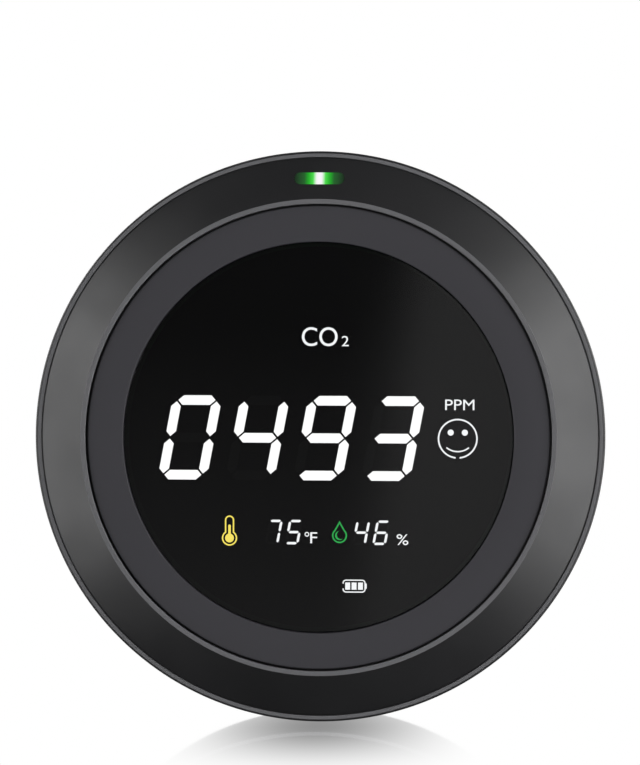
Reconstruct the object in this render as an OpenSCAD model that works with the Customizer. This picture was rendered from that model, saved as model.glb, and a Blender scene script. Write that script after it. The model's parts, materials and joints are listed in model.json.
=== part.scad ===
// Round desktop carbon dioxide monitor on a fold-out stand.
//
// Every part is drawn lying on its own face: x to the right, y up and z out of the face, with depth
// counted back from the front lip. stand_up() then leans the whole instrument back on its rim.
// After that the face looks towards -Y, and the origin is on the table, below the middle of the object.

/* [Body] */
// Outer diameter of the round body
body_d = 98; // [97:0.5:104]
// Depth from the front lip to the flat back
body_depth = 34; // [34:0.5:38]
// Depth at which the rear cover meets the front bezel
joint_depth = 12; // [11.5:0.5:12]
// Wall thickness of the moulded shells
wall = 2; // [1.8:0.1:2.2]
// How far the rear cover is set in from the bezel's rim
cover_step = 1.4; // [1:0.1:1.6]
// How much the rear cover narrows towards the back
cover_taper = 1.4; // [1:0.1:1.6]
// Rounding of the rear cover's back edge
cover_round = 5.5; // [5:0.1:6]
// Angle by which the face leans back
lean = 4; // [3:0.5:6]

/* [Face] */
// Diameter of the smoked window
window_d = 66.6; // [66:0.1:68]
// Outer diameter of the matte ring around the window
surround_d = 79.1; // [78.8:0.1:80.2]
// Width of the flat lip inside the sloping band
inner_lip_w = 0.8; // [0.7:0.1:1.4]
// Width of the flat lip outside the sloping band
outer_lip_w = 1.1; // [0.9:0.1:1.3]
// How far the sloping band drops from the inner lip to the outer one
band_drop = 4; // [3:0.1:4.5]
// Depth of the matte ring's face below the front lip
surround_depth = 0.5; // [0.3:0.1:0.7]
// Depth of the window's face below the front lip
window_depth = 0.8; // [0.7:0.1:1]
// Length of the status light along the rim
light_w = 8.6; // [7:0.1:10]
// Height of the status light
light_h = 2; // [1.8:0.1:2.4]

/* [Display] */
// Gas reading that is lit, as four digits
gas_reading = [0, 4, 9, 3];
// Temperature reading that is lit
temperature_reading = [7, 5];
// Humidity reading that is lit
humidity_reading = [4, 6];
// Height, width and stroke of a large digit
large_digit = [14.5, 8.5, 1.65];
// Height, width and stroke of a small digit
small_digit = [4.22, 2.36, 0.41];
// Distance from one large digit to the next
large_pitch = 11.65; // [11.2:0.05:11.8]
// Distance from one small digit to the next
small_pitch = 3.45; // [3.2:0.05:3.5]
// Sideways lean of the digits, as run over rise
slant = 0.187; // [0:0.01:0.22]

/* [Stand] */
// Width of the fold-out leg
leg_w = 36; // [30:0.5:36]
// Thickness of the leg
leg_t = 2.8; // [2.4:0.1:2.8]
// Angle of the opened leg below level
leg_slope = 32; // [30:0.5:34]
// Height of the hinge above the middle of the disc
hinge_y = -30.5; // [-31:0.1:-30]
// Depth of the hinge axis, counted from the flat back
hinge_cover = 2.6; // [2.5:0.1:2.8]
// Diameter of the steel hinge pin
pin_d = 2.5; // [2:0.1:2.6]
// Play between the pin and the leg's bore, on the radius
pin_play = 0.05; // [0.02:0.01:0.08]

/* [Button and inlet] */
// Length and height of the power button's cap
button_size = [9, 3.4];
// Gap between the button and the cover
button_gap = 0.35; // [0.3:0.05:0.4]
// Width and height of the charging inlet's metal shell
inlet_size = [8.94, 3.26];

/* [Fasteners and vents] */
// Distance of the four cover screws from the middle
cover_screw_ring = 37.5; // [37:0.1:38]
// Distance of the three board screws from the middle
board_screw_ring = 38.8; // [38.5:0.1:39]
// Radius of the wall-hanging keyhole's round end
keyhole_r = 4; // [3.6:0.1:4.2]
// Width of a vent slot
vent_w = 1.6; // [1.2:0.1:1.8]
// Length of a vent slot
vent_l = 9; // [6:0.5:9]
// Vent slots on each side of the back
vent_count = 5; // [3:1:5]
// Vent slots around the top of the cover's side
side_vent_count = 9; // [5:2:9]

/* [Hidden] */
$fn = 96;

// Radii of the face, from the outside in
body_r = body_d / 2;
band_out_r = body_r - outer_lip_w;
surround_r = surround_d / 2;
lip_in_r = surround_r + 0.3;
band_in_r = lip_in_r + inner_lip_w;
window_r = window_d / 2;
flange_r = window_r + 3;
ledge_in_r = window_r + 0.9;
rim_in_r = body_r - wall - 0.2;
band_mid_r = (band_in_r + band_out_r) / 2;

// Depths of the layers behind the window
flange_front = window_depth + 1.3;
lens_back = flange_front + 1;
tape_back = lens_back + 0.3;
ledge_back = tape_back + 2;
mask_front = tape_back + 0.2;
housing_front = mask_front + 0.2;
bar_back = housing_front + 1.2;
well_back = 10.5;
housing_back = 12;
board_front = 13;
board_back = board_front + 1.6;
board_r = rim_in_r - 2;
back_inside = body_depth - wall;

// The side fittings share the height of the switch on the board
side_depth = board_back + 1.8;
cover_r = body_r - cover_step;
tongue_r = rim_in_r - 0.2;
tongue_in_r = tongue_r - 1.3;
tongue_front = joint_depth - 2.5;
inlet_far = cover_r - 1;

// Angles of the screws, and heights of the keyhole and the vents above the middle of the disc
cover_screw_angles = [45, 135, 225, 315];
board_screw_angles = [20, 160, 270];
keyhole_y = 24;
vent_y = 17;
vent_start = 8;
vent_pitch = 3.4;
side_vent_depth = 23;
side_vent_step = 7.5;

// What stands on the board: the gas sensor above the battery, and the switch beside them
sensor_y = 18.5;
sensor_board_front = board_back + 2.6;
sensor_board_back = sensor_board_front + 1.2;
chamber_back = sensor_board_back + 7;
battery_w = 40;
battery_low = -31;
battery_high = 3;
cell_front = board_back + 0.8;
cell_back = cell_front + 7;
lead_places = [-11, -9];
plunger_r = 1;
switch_far = board_r - 2.8;
plunger_far = switch_far + 1;

// The grip pad stands just proud of the rim, and its rear edge is the line that meets the table
pad_r = body_r + 0.15;
pad_half_angle = 13;
face_h = pad_r * cos(lean) + joint_depth * sin(lean);

// The hinge, and the leg that reaches from it to the table
hinge_depth = body_depth - hinge_cover;
barrel_r = hinge_cover - 0.2;
hinge_h = face_h + hinge_y * cos(lean) - hinge_depth * sin(lean);
hinge_back = hinge_y * sin(lean) + hinge_depth * cos(lean);
leg_inner = leg_t - barrel_r;
leg_reach = (hinge_h + leg_inner * cos(leg_slope)) / sin(leg_slope);
leg_turn = 90 + leg_slope - lean;
foot_t = 1.2;

// The cradle is as deep as the hinge needs, and its lower wall is the leg's stop
cradle_wall = 1.6;
cradle_side = 2.4;
cradle_gap = 0.4;
recess_low = hinge_y - 4.4;
recess_high = hinge_y + leg_reach + 2.8;
recess_depth = 5.4;
recess_round = 3.4;
hinge_round = 0.6;

// The front edge is the foot of the flat lip, and the back edge is the tip of the opened leg
front_edge = -band_in_r * sin(lean);
back_edge = hinge_back + hinge_h / tan(leg_slope) + leg_inner / sin(leg_slope);
origin_y = -(front_edge + back_edge) / 2;

// Colours
SHELL = [0.23, 0.23, 0.24];
MATTE = [0.20, 0.20, 0.22];
SMOKE = [0.05, 0.05, 0.06, 0.8];
WHITE_LIGHT = [1, 1, 1];
RUBBER = [0.10, 0.10, 0.10];
STEEL = [0.70, 0.71, 0.73];
CHIP = [0.08, 0.08, 0.09];

// ---------------------------------------------------------------- helpers

// Leans the instrument back and stands it on the table
module stand_up() {
    translate([0, origin_y, face_h]) rotate([90 - lean, 0, 0]) children();
}

// Extrudes a flat shape from one depth to another
module span(front, back) {
    translate([0, 0, -back]) linear_extrude(height = back - front) children();
}

// Copies its child to each angle on a ring
module on_ring(radius, angles) {
    for (a = angles) translate([radius * cos(a), radius * sin(a), 0]) children();
}

// Flat ring
module annulus(outer, inner) {
    difference() {
        circle(r = outer);
        circle(r = inner);
    }
}

// Rectangle with round corners, centred
module rounded(w, h, r) {
    square([w - 2 * r, h], center = true);
    square([w, h - 2 * r], center = true);
    for (x = [-1, 1], y = [-1, 1]) translate([x * (w / 2 - r), y * (h / 2 - r)]) circle(r = r);
}

// Rounded rectangle between two heights
module panel(w, low, high, r) {
    translate([0, (low + high) / 2]) rounded(w, high - low, r);
}

// Slot with round ends, as long as l
module slot(l, w) {
    square([l - w, w], center = true);
    for (x = [-1, 1]) translate([x * (l - w) / 2, 0]) circle(d = w);
}

// Turns a flat shape to face out of the side of the body, at an angle round the rim
module from_side(angle, near, far) {
    rotate([0, 0, angle]) translate([near, 0, -side_depth]) rotate([90, 0, 90])
        linear_extrude(height = far - near) children();
}

// Screw whose head faces the back, with a cross recess
module screw(head_r, head_h, shank_r, length) {
    difference() {
        translate([0, 0, -head_h]) cylinder(r = head_r, h = head_h);
        for (a = [0, 90]) rotate([0, 0, a]) translate([-0.6 * head_r, -0.15 * head_r, -head_h - 0.1])
            cube([1.2 * head_r, 0.3 * head_r, 0.6 * head_h + 0.1]);
    }
    cylinder(r = shank_r, h = length);
}

// Points of an arc
function arc(cx, cy, r, from, to, steps = 8) =
    [for (i = [0:steps]) let (a = from + (to - from) * i / steps) [cx + r * cos(a), cy + r * sin(a)]];

// ---------------------------------------------------------------- display shapes

SEGMENTS = ["abcdef", "bc", "abdeg", "abcdg", "bcfg", "acdfg", "acdefg", "abc", "abcdefg", "abcdfg"];

function slanted(points) = [for (p = points) [p[0] + slant * p[1], p[1]]];

// Pointed bar of length l and width t about a centre, lying along x or standing along y
function lying_bar(x, y, l, t) = [[x - l / 2, y], [x - l / 2 + t / 2, y + t / 2],
    [x + l / 2 - t / 2, y + t / 2], [x + l / 2, y], [x + l / 2 - t / 2, y - t / 2],
    [x - l / 2 + t / 2, y - t / 2]];
function standing_bar(x, y, l, t) = [for (p = lying_bar(0, 0, l, t)) [x + p[1], y + p[0]]];

// Outline of one of the seven segments of a digit
function segment(name, size, gap) =
    let (t = size[2], w = size[1] - t, h = (size[0] - t) / 2)
    name == "a" ? lying_bar(0, h, w - gap, t) :
    name == "g" ? lying_bar(0, 0, w - gap, t) :
    name == "d" ? lying_bar(0, -h, w - gap, t) :
    name == "f" ? standing_bar(-w / 2, h / 2, h - gap, t) :
    name == "b" ? standing_bar(w / 2, h / 2, h - gap, t) :
    name == "e" ? standing_bar(-w / 2, -h / 2, h - gap, t) :
    standing_bar(w / 2, -h / 2, h - gap, t);

// The lit or the unlit segments of a row of digits
module reading(values, at, pitch, size, gap, lit = true) {
    for (i = [0:len(values) - 1]) translate([at[0] + i * pitch, at[1]])
        for (name = "abcdefg") if ((len(search(name, SEGMENTS[values[i]])) > 0) == lit)
            polygon(slanted(segment(name, size, gap)));
}

module gas_reading_shape(lit = true) {
    reading(gas_reading, [-22.2, -0.13], large_pitch, large_digit, 0.45, lit);
}

module temperature_shape(lit = true) {
    reading(temperature_reading, [-7.7, -16.3], small_pitch, small_digit, 0.2, lit);
}

module humidity_shape(lit = true) {
    reading(humidity_reading, [7.34, -16.3], small_pitch, small_digit, 0.2, lit);
}

// Smiling face: an open ring, two eyes and a mouth
module comfort_shape() {
    face_r = 3.42;
    stroke = 0.26;
    translate([23.8, -0.09]) {
        difference() {
            annulus(face_r, face_r - stroke);
            translate([0, -face_r]) square([0.7, 2 * stroke + 0.4], center = true);
        }
        for (x = [-1.21, 1.21]) translate([x, 1.05]) circle(r = 0.52);
        intersection() {
            translate([0, 0.86]) annulus(3.18, 2.95);
            polygon([[0, 0.86], [3.2, -3.1], [-3.2, -3.1]]);
        }
    }
}

// Bulb and stem outline of the thermometer, for a bulb radius and a stem radius
module thermometer_outline(bulb, stem, top) {
    circle(r = bulb);
    translate([-stem, 0]) square([2 * stem, top]);
    translate([0, top]) circle(r = stem);
}

module thermometer_shape() {
    translate([-15.32, -17.4]) {
        difference() {
            thermometer_outline(1.32, 0.8, 3.08);
            thermometer_outline(1.08, 0.56, 3.08);
        }
        thermometer_outline(0.76, 0.22, 2.1);
    }
}

// Drop: a circle with a point above it, whose sides end just inside the circle
module drop_outline(r, tip) {
    a = acos(r / tip);
    base = 0.96 * r;
    circle(r = r);
    polygon([[0, tip], [base * sin(a), base * cos(a)], [0, 0], [-base * sin(a), base * cos(a)]]);
}

module droplet_shape() {
    translate([3.62, -16.84]) {
        difference() {
            drop_outline(1.3, 2.53);
            drop_outline(1.04, 2);
        }
        difference() {
            circle(r = 0.78);
            translate([0.26, 0.12]) circle(r = 0.72);
        }
    }
}

// Battery gauge: three bars in an outline that is open on the left, with a terminal on the right
module battery_shape() {
    translate([6.16, -25.51]) {
        difference() {
            rounded(3.96, 2.24, 0.6);
            rounded(3.56, 1.84, 0.42);
            translate([-2, 0]) square([1, 0.8], center = true);
        }
        for (x = [-1.1, 0, 1.1]) translate([x, 0]) square([0.84, 1.24], center = true);
        translate([2.01, 0]) square([0.32, 0.9], center = true);
    }
}

// Every shape that light comes through, lit or not
module light_shapes() {
    for (lit = [true, false]) {
        gas_reading_shape(lit);
        temperature_shape(lit);
        humidity_shape(lit);
    }
    comfort_shape();
    thermometer_shape();
    droplet_shape();
    battery_shape();
}

// Coloured light bar in the display block
module light_bar() {
    stand_up() span(mask_front, bar_back) children();
}

// ---------------------------------------------------------------- front shell and window

// The front shell as a solid of revolution, which also trims the light guide to the band
module bezel_body() {
    rotate_extrude() polygon(concat(
        [[lip_in_r, 0], [band_in_r, 0], [band_out_r, -band_drop]],
        arc(body_r - 0.5, -band_drop - 0.5, 0.5, 90, 0, 4),
        [[body_r, -joint_depth], [rim_in_r, -joint_depth], [rim_in_r, -ledge_back],
         [ledge_in_r, -ledge_back], [ledge_in_r, -tape_back], [flange_r + 0.3, -tape_back],
         [flange_r + 0.3, -flange_front], [lip_in_r, -flange_front]]));
}

module front_bezel() {
    color(SHELL) stand_up() difference() {
        union() {
            bezel_body();
            // Bosses for the cover screws and posts for the board
            span(ledge_back - 0.5, board_back + 1.9) on_ring(cover_screw_ring, cover_screw_angles)
                circle(r = 2.9);
            span(ledge_back - 0.5, board_front) on_ring(board_screw_ring, board_screw_angles)
                circle(r = 2.4);
        }
        span(ledge_back + 1.6, board_back + 2) on_ring(cover_screw_ring, cover_screw_angles)
            circle(r = 1.22);
        span(ledge_back + 1.6, board_front + 1) on_ring(board_screw_ring, board_screw_angles)
            circle(r = 1.02);
        translate([0, band_mid_r, 0]) span(-1, ledge_back + 1) slot(light_w + 0.1, light_h + 0.1);
        grip_pad_shape(0.02);
    }
}

module display_surround() {
    color(MATTE) stand_up() rotate_extrude() polygon([
        [window_r + 0.1, -surround_depth - 0.15], [window_r + 0.25, -surround_depth],
        [surround_r - 0.15, -surround_depth], [surround_r, -surround_depth - 0.15],
        [surround_r, -flange_front], [window_r + 0.1, -flange_front]]);
}

module front_lens() {
    color(SMOKE) stand_up() rotate_extrude() polygon([
        [0, -window_depth], [window_r - 0.2, -window_depth], [window_r, -window_depth - 0.2],
        [window_r, -flange_front], [flange_r, -flange_front], [flange_r, -lens_back],
        [0, -lens_back]]);
}

module lens_tape() {
    color(CHIP) stand_up() span(lens_back, tape_back) annulus(flange_r, ledge_in_r + 0.2);
}

// Clear bar that fills the slot in the band and ends over the light on the board
module status_light_guide() {
    guide_back = board_front - 2;
    color([0.55, 1, 0.6, 0.9]) stand_up() {
        intersection() {
            translate([0, band_mid_r, 0]) span(0, guide_back - 3) slot(light_w, light_h);
            rotate_extrude() polygon([[0, 0], [band_in_r, 0], [band_out_r, -band_drop],
                [band_out_r, -guide_back], [0, -guide_back]]);
        }
        translate([0, band_mid_r - 1.7, 0]) span(guide_back - 3, guide_back)
            square([light_w - 2.2, 3], center = true);
    }
}

module status_led() {
    color([0.95, 0.95, 0.85]) stand_up() translate([0, band_mid_r - 1.9, 0])
        span(board_front - 1.4, board_front) square([3, 1.5], center = true);
}

// Rubber strip let into the rim where the body meets the table
module grip_pad_shape(play = 0) {
    strip = 3.8;
    angle = pad_half_angle + play / body_r * 180 / PI;
    inner = body_r - 1.1 - play;
    rotate([0, 0, -90 - angle]) rotate_extrude(angle = 2 * angle)
        translate([inner, -joint_depth - play])
            square([pad_r - inner + play, strip + 2 * play]);
}

module rim_grip_pad() {
    color(RUBBER) stand_up() grip_pad_shape();
}

// ---------------------------------------------------------------- display block

module display_mask() {
    color(CHIP) stand_up() span(mask_front, housing_front) difference() {
        circle(r = window_r - 0.6);
        light_shapes();
    }
}

module display_housing() {
    housing_r = window_r - 1;
    color([0.16, 0.16, 0.17]) stand_up() difference() {
        span(housing_front, housing_back) circle(r = housing_r);
        span(housing_front - 1, bar_back) light_shapes();
        span(bar_back - 0.1, well_back) for (lit = [true, false]) gas_reading_shape(lit);
    }
}

module co2_digits() { color(WHITE_LIGHT) light_bar() gas_reading_shape(); }

module temperature_digits() { color(WHITE_LIGHT) light_bar() temperature_shape(); }

module humidity_digits() { color(WHITE_LIGHT) light_bar() humidity_shape(); }

module unlit_segments() {
    color([0.25, 0.25, 0.26]) light_bar() {
        gas_reading_shape(false);
        temperature_shape(false);
        humidity_shape(false);
    }
}

module comfort_icon() { color(WHITE_LIGHT) light_bar() comfort_shape(); }

module thermometer_icon() { color([1, 0.87, 0.3]) light_bar() thermometer_shape(); }

module droplet_icon() { color([0.2, 0.75, 0.35]) light_bar() droplet_shape(); }

module battery_icon() { color(WHITE_LIGHT) light_bar() battery_shape(); }

// Where the display block's pins go through the board
module display_pin_places() {
    for (i = [-4:4], y = [-27, 27]) translate([i * 3.81, y]) children();
}

module display_pins() {
    color(STEEL) stand_up() span(housing_back, board_back) display_pin_places() circle(r = 0.32);
}

// ---------------------------------------------------------------- board and what it carries

module main_board() {
    color([0.05, 0.30, 0.16]) stand_up() span(board_front, board_back) difference() {
        circle(r = board_r);
        on_ring(board_screw_ring, board_screw_angles) circle(r = 1.15);
        for (a = cover_screw_angles) rotate([0, 0, a]) {
            translate([cover_screw_ring, 0]) circle(r = 3.6);
            translate([cover_screw_ring, -3.6]) square([board_r, 7.2]);
        }
        // Room for the button's flange
        translate([-board_r - 1, -7]) square([2.8, 14]);
        // Slits that keep the board's heat away from the humidity sensor
        for (x = [5, 12.4]) translate([x, 38]) square([1, 6], center = true);
        display_pin_places() circle(r = 0.45);
    }
}

module board_screws() {
    color(STEEL) stand_up() on_ring(board_screw_ring, board_screw_angles)
        translate([0, 0, -board_back]) screw(1.9, 1.3, 1, 6);
}

// Box soldered to the back of the board
module component(x, y, w, h, t) {
    translate([x, y, 0]) span(board_back, board_back + t) square([w, h], center = true);
}

module control_chip() {
    color(CHIP) stand_up() difference() {
        component(-29, 8, 9, 9, 1.2);
        translate([-32.2, 11.2, -board_back - 1.3]) cylinder(r = 0.5, h = 0.3);
    }
}

module board_chips() {
    color(CHIP) stand_up() {
        component(-28, -6, 6, 10, 1.6);
        component(31, -18, 4, 4, 0.9);
        component(34, -6.5, 4, 3, 1);
        component(33, 22, 3, 3, 1);
        for (y = [-2, 1, 18.5]) component(-36.5, y + 4, 1.6, 0.8, 0.7);
        for (x = [-6, -3, 0]) component(x, 36, 0.8, 1.6, 0.7);
    }
}

module buzzer() {
    color([0.12, 0.12, 0.12]) stand_up() translate([27.5, 9, 0]) difference() {
        span(board_back, board_back + 5.2) circle(r = 6);
        span(board_back + 3.5, board_back + 6) circle(r = 1);
    }
}

module humidity_sensor() {
    color([0.85, 0.86, 0.84]) stand_up() difference() {
        component(8.7, 38, 3, 3, 1);
        translate([8.7, 38, -board_back - 1.1]) cylinder(r = 0.7, h = 0.4);
    }
}

module co2_sensor_board() {
    color([0.06, 0.22, 0.42]) stand_up() translate([0, sensor_y, 0])
        span(sensor_board_front, sensor_board_back) difference() {
            rounded(32, 18, 1);
            for (x = [-14, 14]) translate([x, 7]) circle(r = 0.9);
        }
}

module co2_sensor_chamber() {
    color([0.83, 0.69, 0.35]) stand_up() translate([0, sensor_y, 0]) {
        span(sensor_board_back, chamber_back) rounded(24, 13, 2);
        span(sensor_board_back, sensor_board_back + 1) rounded(27, 15, 1);
    }
}

module sensor_membrane() {
    color([0.95, 0.95, 0.93]) stand_up() translate([0, sensor_y, 0])
        span(chamber_back, chamber_back + 0.3) rounded(16, 7, 1);
}

module sensor_pins() {
    color(STEEL) stand_up() span(board_back, sensor_board_front)
        for (i = [-2:2], x = [-14, 14]) translate([x, sensor_y - 2 + i * 2.54 - 2]) circle(r = 0.35);
}

module battery_pad() {
    color([0.85, 0.85, 0.80]) stand_up() span(board_back, cell_front)
        panel(battery_w - 8, battery_low + 4, battery_high - 4, 1);
}

module battery_cell() {
    color([0.72, 0.73, 0.76]) stand_up() span(cell_front, cell_back)
        panel(battery_w, battery_low, battery_high, 2);
}

module battery_leads() {
    color([0.75, 0.08, 0.06]) stand_up() for (y = lead_places)
        translate([battery_w / 2, y, -board_back - 3]) rotate([0, 90, 0]) cylinder(r = 0.6, h = 3);
}

module battery_connector() {
    color([0.93, 0.92, 0.86]) stand_up() component(battery_w / 2 + 6, -10, 6, 6, 5);
}

// ---------------------------------------------------------------- inlet, switch and button

module usb_socket_shell() {
    color(STEEL) stand_up() difference() {
        from_side(0, inlet_far - 7.1, inlet_far) slot(inlet_size[0], inlet_size[1]);
        from_side(0, inlet_far - 6.8, inlet_far + 1) slot(inlet_size[0] - 0.6, inlet_size[1] - 0.6);
    }
}

module usb_contact_tongue() {
    color(CHIP) stand_up() from_side(0, inlet_far - 6.8, inlet_far - 1.3)
        square([6.7, 0.7], center = true);
}

module tact_switch_body() {
    color(CHIP) stand_up() difference() {
        from_side(180, switch_far - 3.6, switch_far) square([6, 3.5], center = true);
        from_side(180, switch_far - 1.6, switch_far + 1) circle(r = plunger_r + 0.1);
    }
}

module switch_plunger() {
    color([0.8, 0.3, 0.1]) stand_up() from_side(180, plunger_far - 2, plunger_far)
        circle(r = plunger_r);
}

// Cap through the cover's side, with a flange that keeps it in and a stem that meets the plunger
module power_button() {
    flange_far = cover_r - wall - 1.2;
    color(SHELL) stand_up() difference() {
        union() {
            from_side(180, flange_far - 0.8, cover_r + 0.4) slot(button_size[0], button_size[1]);
            from_side(180, flange_far - 0.8, flange_far) slot(11.2, 5);
            from_side(180, plunger_far + 0.03, flange_far) circle(r = 1.2);
        }
        // Shallow finger dish
        rotate([0, 0, 180]) translate([cover_r + 10.1, 0, -side_depth]) rotate([90, 0, 0])
            cylinder(r = 10, h = 5.6, center = true);
    }
}

// ---------------------------------------------------------------- rear cover

// Half outline of the cover, set in by a wall thickness for its inside
function cover_outline(inset, front) =
    let (corner = cover_round - inset, side = cover_r - cover_taper - inset,
         back = -(body_depth - inset))
    concat([[0, -front], [cover_r - inset, -front]], arc(side - corner, back + corner, corner, 0, -90),
        [[0, back]]);

module keyhole_shape() {
    circle(r = keyhole_r);
    translate([-2.1, 0]) square([4.2, 7.5]);
    translate([0, 7.5]) circle(r = 2.1);
}

module vent_slots() {
    for (i = [0:vent_count - 1], s = [-1, 1]) translate([s * (vent_start + i * vent_pitch), vent_y])
        rotate(90) slot(vent_l, vent_w);
}

module side_vents() {
    middle = (side_vent_count - 1) / 2;
    for (i = [-middle:middle]) rotate([0, 0, 90 + i * side_vent_step])
        translate([cover_r - 6, 0, -side_vent_depth]) rotate([90, 0, 90])
            linear_extrude(height = 10) rotate(90) slot(vent_l, vent_w);
}

module rear_cover() {
    color(SHELL) stand_up() difference() {
        union() {
            difference() {
                rotate_extrude() polygon(cover_outline(0, joint_depth));
                rotate_extrude() polygon(cover_outline(wall, joint_depth - 1));
            }
            // Tongue that locates the cover in the bezel
            span(tongue_front, joint_depth + 1) annulus(tongue_r, tongue_in_r);
            // Screw wells
            span(board_back + 2.1, back_inside + 0.5) on_ring(cover_screw_ring, cover_screw_angles)
                circle(r = 4.1);
        }
        span(24, body_depth + 1) on_ring(cover_screw_ring, cover_screw_angles) circle(r = 2.9);
        span(board_back, 25) on_ring(cover_screw_ring, cover_screw_angles) circle(r = 1.45);
        span(back_inside - 1, body_depth + 1) {
            panel(leg_w + 2 * (cradle_gap + cradle_side) + 0.1, recess_low - cradle_wall - 0.05,
                recess_high + cradle_wall + 0.05, recess_round + cradle_wall);
            vent_slots();
            translate([0, keyhole_y]) keyhole_shape();
        }
        side_vents();
        from_side(0, cover_r - 4, cover_r + 2) slot(inlet_size[0] + 0.7, inlet_size[1] + 0.7);
        from_side(180, cover_r - 4, cover_r + 2)
            slot(button_size[0] + 2 * button_gap, button_size[1] + 2 * button_gap);
    }
}

module dust_filter() {
    color([0.22, 0.22, 0.22]) stand_up() span(back_inside - 0.8, back_inside)
        for (s = [-1, 1]) translate([s * (vent_start + 2 * vent_pitch), vent_y])
            rounded(18, vent_l + 2, 1);
}

module cover_screws() {
    color(STEEL) stand_up() on_ring(cover_screw_ring, cover_screw_angles)
        translate([0, 0, -24]) screw(2.4, 1.8, 1.2, 14);
}

// ---------------------------------------------------------------- stand

module stand_cradle() {
    outer_w = leg_w + 2 * (cradle_gap + cradle_side);
    floor_depth = body_depth - recess_depth;
    color(SHELL) stand_up() difference() {
        union() {
            span(floor_depth - cradle_wall, body_depth)
                panel(outer_w, recess_low - cradle_wall, recess_high + cradle_wall,
                    recess_round + cradle_wall);
            // Flange glued to the inside of the cover
            span(back_inside - cradle_wall, back_inside)
                panel(outer_w + 2.4, recess_low + 7, recess_high + cradle_wall + 1.4, 2);
        }
        // The recess has nearly square corners at the hinge, so that the opened leg clears them
        span(floor_depth, body_depth + 1) {
            panel(leg_w + 2 * cradle_gap, recess_low, recess_high, recess_round);
            panel(leg_w + 2 * cradle_gap, recess_low, hinge_y + 4, hinge_round);
        }
        translate([0, hinge_y, -hinge_depth]) rotate([0, 90, 0])
            cylinder(d = pin_d, h = leg_w + 2 * (cradle_gap + cradle_side) - 0.6, center = true);
    }
}

module kickstand_pin() {
    color(STEEL) stand_up() translate([0, hinge_y, -hinge_depth]) rotate([0, 90, 0])
        cylinder(d = pin_d, h = leg_w + 2 * (cradle_gap + cradle_side) - 0.8, center = true);
}

// Turns the leg from folded, along +y from its hinge, to opened
module open_leg() {
    translate([0, hinge_y, -hinge_depth]) rotate([-leg_turn, 0, 0]) children();
}

// Folded leg from its hinge to the plane of the table
module leg_blank() {
    difference() {
        translate([0, 0, -barrel_r]) linear_extrude(height = leg_t)
            panel(leg_w, -4, leg_reach, recess_round - 0.6);
        translate([-leg_w, -8, -4]) cube([2 * leg_w, 8, 8]);
    }
}

// Everything past a plane that lies above the table plane by a set-back
module past_table(set_back) {
    rotate([leg_slope - 90, 0, 0]) translate([-50, hinge_h - set_back, -50]) cube(100);
}

module kickstand() {
    color(SHELL) stand_up() open_leg() difference() {
        union() {
            difference() {
                leg_blank();
                past_table(foot_t);
                // Shallow panel on the outer face, and grooves to grip it by
                translate([0, 0, -barrel_r - 1]) linear_extrude(height = 1.5)
                    panel(leg_w - 8, 5, leg_reach * 0.56, 2);
                for (i = [0:3]) translate([0, leg_reach * 0.62 + i * 1.7, -barrel_r - 0.1])
                    rotate([0, 90, 0]) cylinder(r = 0.5, h = leg_w - 12, center = true);
            }
            rotate([0, 90, 0]) cylinder(r = barrel_r, h = leg_w, center = true);
        }
        rotate([0, 90, 0]) cylinder(r = pin_d / 2 + pin_play, h = leg_w + 2, center = true);
    }
}

module kickstand_foot_pad() {
    color(RUBBER) stand_up() open_leg() difference() {
        intersection() {
            leg_blank();
            past_table(foot_t);
        }
        past_table(0);
    }
}

front_bezel();
display_surround();
front_lens();
lens_tape();
status_light_guide();
status_led();
display_mask();
display_housing();
co2_digits();
temperature_digits();
humidity_digits();
unlit_segments();
comfort_icon();
thermometer_icon();
droplet_icon();
battery_icon();
display_pins();
main_board();
board_screws();
control_chip();
board_chips();
buzzer();
humidity_sensor();
co2_sensor_board();
co2_sensor_chamber();
sensor_membrane();
sensor_pins();
battery_pad();
battery_cell();
battery_leads();
battery_connector();
usb_socket_shell();
usb_contact_tongue();
tact_switch_body();
switch_plunger();
power_button();
rear_cover();
dust_filter();
cover_screws();
rim_grip_pad();
stand_cradle();
kickstand_pin();
kickstand();
kickstand_foot_pad();
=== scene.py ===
# %% [markdown]
# # A round desktop carbon dioxide monitor
#
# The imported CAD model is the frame: it holds the true sizes and everything that moves. Here it gets
# its looks. The shells, the ring, the window, the screws and the printed marks are rebuilt as clean
# meshes on the frame, and every material is mixed from nodes.

# %% Load the frame
import json
import math

import bmesh
import bpy
from mathutils import Matrix, Vector


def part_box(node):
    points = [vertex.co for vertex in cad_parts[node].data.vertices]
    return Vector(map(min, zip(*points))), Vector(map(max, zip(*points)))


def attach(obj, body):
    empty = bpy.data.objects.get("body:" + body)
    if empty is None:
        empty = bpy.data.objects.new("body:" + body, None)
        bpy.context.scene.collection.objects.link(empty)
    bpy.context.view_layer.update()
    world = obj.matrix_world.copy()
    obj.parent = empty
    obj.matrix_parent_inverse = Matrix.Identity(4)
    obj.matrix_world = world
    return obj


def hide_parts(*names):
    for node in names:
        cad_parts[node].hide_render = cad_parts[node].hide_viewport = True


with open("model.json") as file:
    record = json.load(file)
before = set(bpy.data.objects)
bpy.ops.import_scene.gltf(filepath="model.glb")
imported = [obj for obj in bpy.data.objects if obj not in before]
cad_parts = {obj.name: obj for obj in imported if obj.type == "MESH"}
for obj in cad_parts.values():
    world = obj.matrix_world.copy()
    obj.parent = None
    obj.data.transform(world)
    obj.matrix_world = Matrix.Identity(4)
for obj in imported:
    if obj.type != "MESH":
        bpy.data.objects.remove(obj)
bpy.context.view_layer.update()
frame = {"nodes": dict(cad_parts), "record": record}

scene = bpy.context.scene
record = frame["record"]
nodes = frame["nodes"]
mounts = {m["name"]: m for m in record["mounts"]}

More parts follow.
